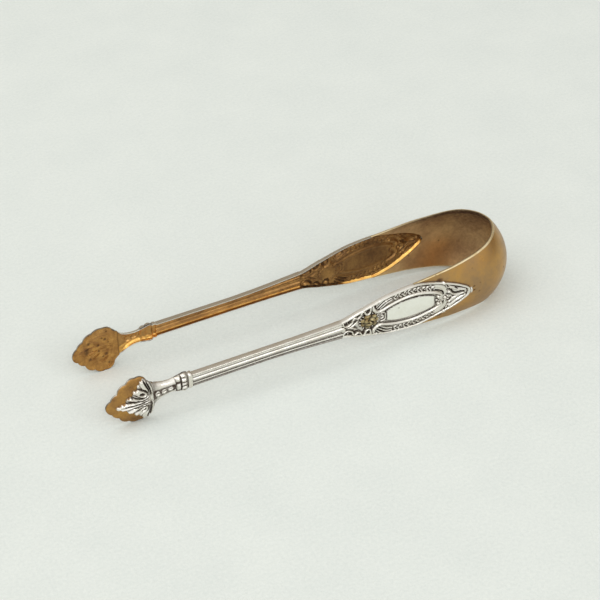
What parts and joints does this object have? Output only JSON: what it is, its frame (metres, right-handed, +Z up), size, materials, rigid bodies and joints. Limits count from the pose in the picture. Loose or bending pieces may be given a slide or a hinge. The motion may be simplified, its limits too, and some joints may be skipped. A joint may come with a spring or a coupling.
{
  "type": "ice tongs",
  "caption": "Spring tongs with shell-shaped claws; a domed bent-metal bow joins ornamented arms that are squeezed together to lift ice or sugar.",
  "frame": {"origin": "under the middle of the tongs' length and width, on the plane that the bow's lower edge rests on", "axes": "+X from the claws to the bow, +Y from the near arm to the far arm, +Z up, across the width of the band; the tongs lie on edge"},
  "size_m": [0.1558, 0.036, 0.0264],
  "materials": {
    "silver": "polished silver, darkened in the recesses of the relief",
    "satin_silver": "plain satin silver",
    "gilt": "worn matt gilding on silver with brown and grey patina",
    "aged_gilt": "dull gilding, dark olive in the recesses"
  },
  "bodies": {
    "bow": {"bow_crown": "gilt"},
    "near_arm": {"near_claw": "gilt", "near_acanthus_leaf": "silver", "near_neck": "silver", "near_husk_drop": "silver", "near_knop": "silver", "near_collar": "silver", "near_stem": "silver", "near_cartouche": "silver", "near_medallion": "satin_silver", "near_medallion_frame": "silver", "near_flower": "aged_gilt", "near_tip_bead": "silver", "near_shoulder": "gilt"},
    "far_arm": {"far_claw": "gilt", "far_acanthus_leaf": "silver", "far_neck": "silver", "far_husk_drop": "silver", "far_knop": "silver", "far_collar": "silver", "far_stem": "silver", "far_cartouche": "silver", "far_medallion": "satin_silver", "far_medallion_frame": "silver", "far_flower": "aged_gilt", "far_tip_bead": "silver", "far_shoulder": "gilt"}
  },
  "joints": [
    {"name": "near_flex", "type": "hinge", "parent": "bow", "child": "near_arm", "pos_m": [0.06997, -0.01027, 0.0132], "axis": [0, 0, -1], "range_deg": [-1.5, 5.4], "stiffness_Nm_per_rad": 3},
    {"name": "far_flex", "type": "hinge", "parent": "bow", "child": "far_arm", "pos_m": [0.06997, 0.01027, 0.0132], "axis": [0, 0, 1], "range_deg": [-1.5, 5.4], "stiffness_Nm_per_rad": 3}
  ],
  "couplings": [
    {"joint": "far_flex", "follows": "near_flex", "ratio": 1}
  ]
}
